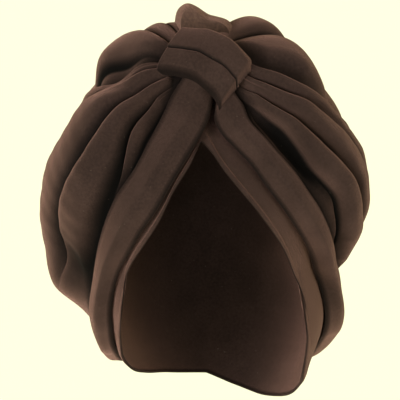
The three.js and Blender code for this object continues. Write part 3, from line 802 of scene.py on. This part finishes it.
def band(name, node, rows):
    """A smooth band along the face, from under the knot to the nape"""
    s, t = shares(BAND_GRID)
    t = crowded(t, CROWDED_AT_EDGES)
    lon, lat, d = across(rows, s, t)
    over = 1 - 0.55 * ease((0.22 - s) / 0.2)
    nape = 1 - 0.6 * ease((s - 0.86) / 0.1)
    lift = GAP + HEM_FOLD + (2 * layer() - HEM_FOLD + BAND_LIFT) * nape * mix(1, ease(t / 0.5), over)
    out = np.maximum(0, column(rows, 4, s)) * ease(t / 0.4)
    pillow = BAND_PILLOW * (1 - (2 * t - 1) ** 2)
    edge = np.minimum(t, 1 - t) * BAND_WIDTH
    tuck = 1.3 * bell(t, 0.06) * ease((s - 0.5) / 0.1) * (1 - ease((s - 0.85) / 0.08))
    radius = (base_radius(lon, lat, d) + lift + pillow + out + mm("cloth")
              - 0.7 * rounded(edge, BAND_LIP) - tuck)
    waves = 0.5 * soft_waves(place(d, radius), size=55, seed=len(name))
    piece = new_sheet(
        name, place(d, radius + waves), spread=(0.028, 0.32), node=node,
        wall=mm("cloth"), edge=edge)
    dress(piece, name.replace("_", " "), bpy.context.scene.headwrap_colours.jersey)


class HEADWRAP_OT_bands(bpy.types.Operator):
    """Makes the smooth brow bands"""
    bl_idname = "headwrap.bands"
    bl_label = "Brow bands"

    def execute(self, context):
        band("brow_band_left_jersey", "brow_band_left", BAND_LEFT)
        band("brow_band_right_jersey", "brow_band_right", BAND_RIGHT)
        return {"FINISHED"}


class HEADWRAP_OT_knot(bpy.types.Operator):
    """Makes the knot band with its lengthwise pleat"""
    bl_idname = "headwrap.knot"
    bl_label = "Knot band"

    def execute(self, context):
        s, t = shares(KNOT_GRID)
        lon, lat, d = across(KNOT, s, t)
        line = 0.4 + 0.1 * ease((s - 0.4) / 0.6)
        step = 1.3 * ease((t - line + 0.008) / 0.016)
        crease = -0.7 * bell(t - line + 0.01, 0.014)
        pillow = KNOT_PILLOW * (1 - np.abs(2 * t - 1) ** 2.5)
        edge = np.minimum(t, 1 - t) * KNOT_WIDTH
        ends = 7 * ease((0.13 - s) / 0.13) + 5 * ease((s - 0.88) / 0.12)
        lip = rounded(edge, KNOT_LIP) + 4 * ease((t - 0.9) / 0.1) + ends
        upper = KNOT_EDGE * ease((t - 0.75) / 0.25) * (1 - 0.5 * ease((s - 0.6) / 0.3))
        radius = (base_radius(lon, lat, d) + 3 * layer() + KNOT_LIFT + mm("knot_arch") * column(KNOT, 4, s)
                  + pillow + step - upper + crease - lip + mm("cloth"))
        # painted shade along the lengthwise pleat
        piece = new_sheet(
            "knot_band_jersey", place(d, radius), spread=(0.036, 0.07), node="knot_band",
            wall=mm("cloth"), deep=1 - 0.85 * bell(t - line + 0.008, 0.012), edge=edge)
        dress(piece, "knot jersey", context.scene.headwrap_colours.jersey)
        return {"FINISHED"}


class HEADWRAP_OT_tuft(bpy.types.Operator):
    """Makes the small twisted end behind the knot"""
    bl_idname = "headwrap.tuft"
    bl_label = "Tuft"

    def execute(self, context):
        s, t = shares(TUFT_GRID)
        lon, lat, d = across(TUFT, s, t)
        dome = (1 - np.abs(2 * t - 1) ** 2.4) * np.maximum(0, column(TUFT, 4, s))
        skirt = TUFT_SKIRT * np.maximum(np.abs(2 * t - 1), np.abs(2 * s - 1)) ** 6
        radius = (base_radius(lon, lat, d) + layer() + GAP + 0.55 * mm("pleat_height")
                  + mm("tuft_height") * dome - skirt + mm("cloth"))
        piece = new_sheet(
            "top_tuft_jersey", place(d, radius), spread=(0.03, 0.05), node="top_tuft",
            wall=mm("cloth"))
        # the twisted end is the same jersey in a lighter colour, a painted highlight
        dress(piece, "tuft jersey painted lighter", context.scene.headwrap_colours.tuft)
        return {"FINISHED"}


def pale_floor(ground):
    bpy.ops.object.select_all(action="DESELECT")
    bpy.ops.mesh.primitive_plane_add(size=FLOOR_SIZE, location=(0, 0, FLOOR_AT))
    floor = bpy.context.object
    floor.name = "floor"
    bpy.ops.object.transform_apply(location=True)
    paint = bpy.data.materials.new("pale floor")
    paint.use_nodes = True
    shader = paint.node_tree.nodes["Principled BSDF"]
    shader.inputs["Base Color"].default_value = (*times(ground, 0.02), 1)
    shader.inputs["Emission Color"].default_value = (*ground, 1)
    shader.inputs["Emission Strength"].default_value = 0.96
    shader.inputs["Roughness"].default_value = 1
    shader.inputs["Specular IOR Level"].default_value = 0
    floor.data.materials.append(paint)


def soft_room():
    """Light from the sides and below, less from above"""
    world = bpy.data.worlds.new("soft room")
    world.use_nodes = True
    tree = world.node_tree
    way = tree.nodes.new("ShaderNodeTexCoord")
    parts = tree.nodes.new("ShaderNodeSeparateXYZ")
    tree.links.new(way.outputs["Generated"], parts.inputs["Vector"])
    walls = ramp_of(tree, parts.outputs["Z"], (0.2, (1, 1, 0.7)), (0.7, (0.3, 0.3, 0.22)))
    backdrop = tree.nodes["Background"]
    tree.links.new(walls, backdrop.inputs["Color"])
    backdrop.inputs["Strength"].default_value = 1.0
    bpy.context.scene.world = world


def soft_lamps():
    for name, at, size, power in LAMPS:
        bpy.ops.object.light_add(type="AREA", location=at)
        lamp = bpy.context.object
        lamp.name = name
        lamp.data.size = size
        lamp.data.energy = power
        aim = -lamp.location
        aim.z -= LAMP_AIM_DOWN
        lamp.rotation_euler = aim.to_track_quat("-Z", "Y").to_euler()


def front_camera():
    """The photo's view, a little above level"""
    tip = CAMERA_TIP * RAD
    x, y, z = CAMERA_LOOK
    bpy.ops.object.camera_add(
        location=(x, y - CAMERA_FAR * math.cos(tip), z + CAMERA_FAR * math.sin(tip)),
        rotation=(math.pi / 2 - tip, 0, 0))
    camera = bpy.context.object
    camera.name = "front camera"
    camera.data.sensor_width = SENSOR
    camera.data.lens = SENSOR * CAMERA_FAR / (PHOTO_PIXELS * PHOTO_PIXEL)
    camera.data.clip_end = 100
    bpy.context.scene.camera = camera


class HEADWRAP_OT_stage(bpy.types.Operator):
    """Sets the floor, the soft light and the camera"""
    bl_idname = "headwrap.stage"
    bl_label = "Stage"

    def execute(self, context):
        pale_floor(tuple(context.scene.headwrap_colours.ground))
        soft_room()
        soft_lamps()
        front_camera()
        context.scene.view_settings.view_transform = "Standard"
        context.scene.view_settings.look = "Medium High Contrast"
        return {"FINISHED"}


class HEADWRAP_PT_panel(bpy.types.Panel):
    bl_label = "Headwrap"
    bl_space_type = "VIEW_3D"
    bl_region_type = "UI"
    bl_category = "Headwrap"

    def draw(self, context):
        for group in (context.scene.headwrap_sizes, context.scene.headwrap_colours):
            for key in group.__annotations__:
                self.layout.prop(group, key)
        for step in STEPS:
            self.layout.operator(step.bl_idname)


STEPS = (
    HEADWRAP_OT_cap, HEADWRAP_OT_crown, HEADWRAP_OT_drapes, HEADWRAP_OT_bands,
    HEADWRAP_OT_knot, HEADWRAP_OT_tuft, HEADWRAP_OT_stage,
)
CLASSES = (HEADWRAP_PG_sizes, HEADWRAP_PG_colours, *STEPS, HEADWRAP_PT_panel)


def register():
    for cls in CLASSES:
        bpy.utils.register_class(cls)
    bpy.types.Scene.headwrap_sizes = bpy.props.PointerProperty(type=HEADWRAP_PG_sizes)
    bpy.types.Scene.headwrap_colours = bpy.props.PointerProperty(type=HEADWRAP_PG_colours)


def unregister():
    del bpy.types.Scene.headwrap_colours
    del bpy.types.Scene.headwrap_sizes
    for cls in reversed(CLASSES):
        bpy.utils.unregister_class(cls)


def main():
    register()
    bpy.ops.headwrap.cap()
    bpy.ops.headwrap.crown()
    bpy.ops.headwrap.drapes()
    bpy.ops.headwrap.bands()
    bpy.ops.headwrap.knot()
    bpy.ops.headwrap.tuft()
    bpy.ops.headwrap.stage()


if __name__ == "__main__":
    main()
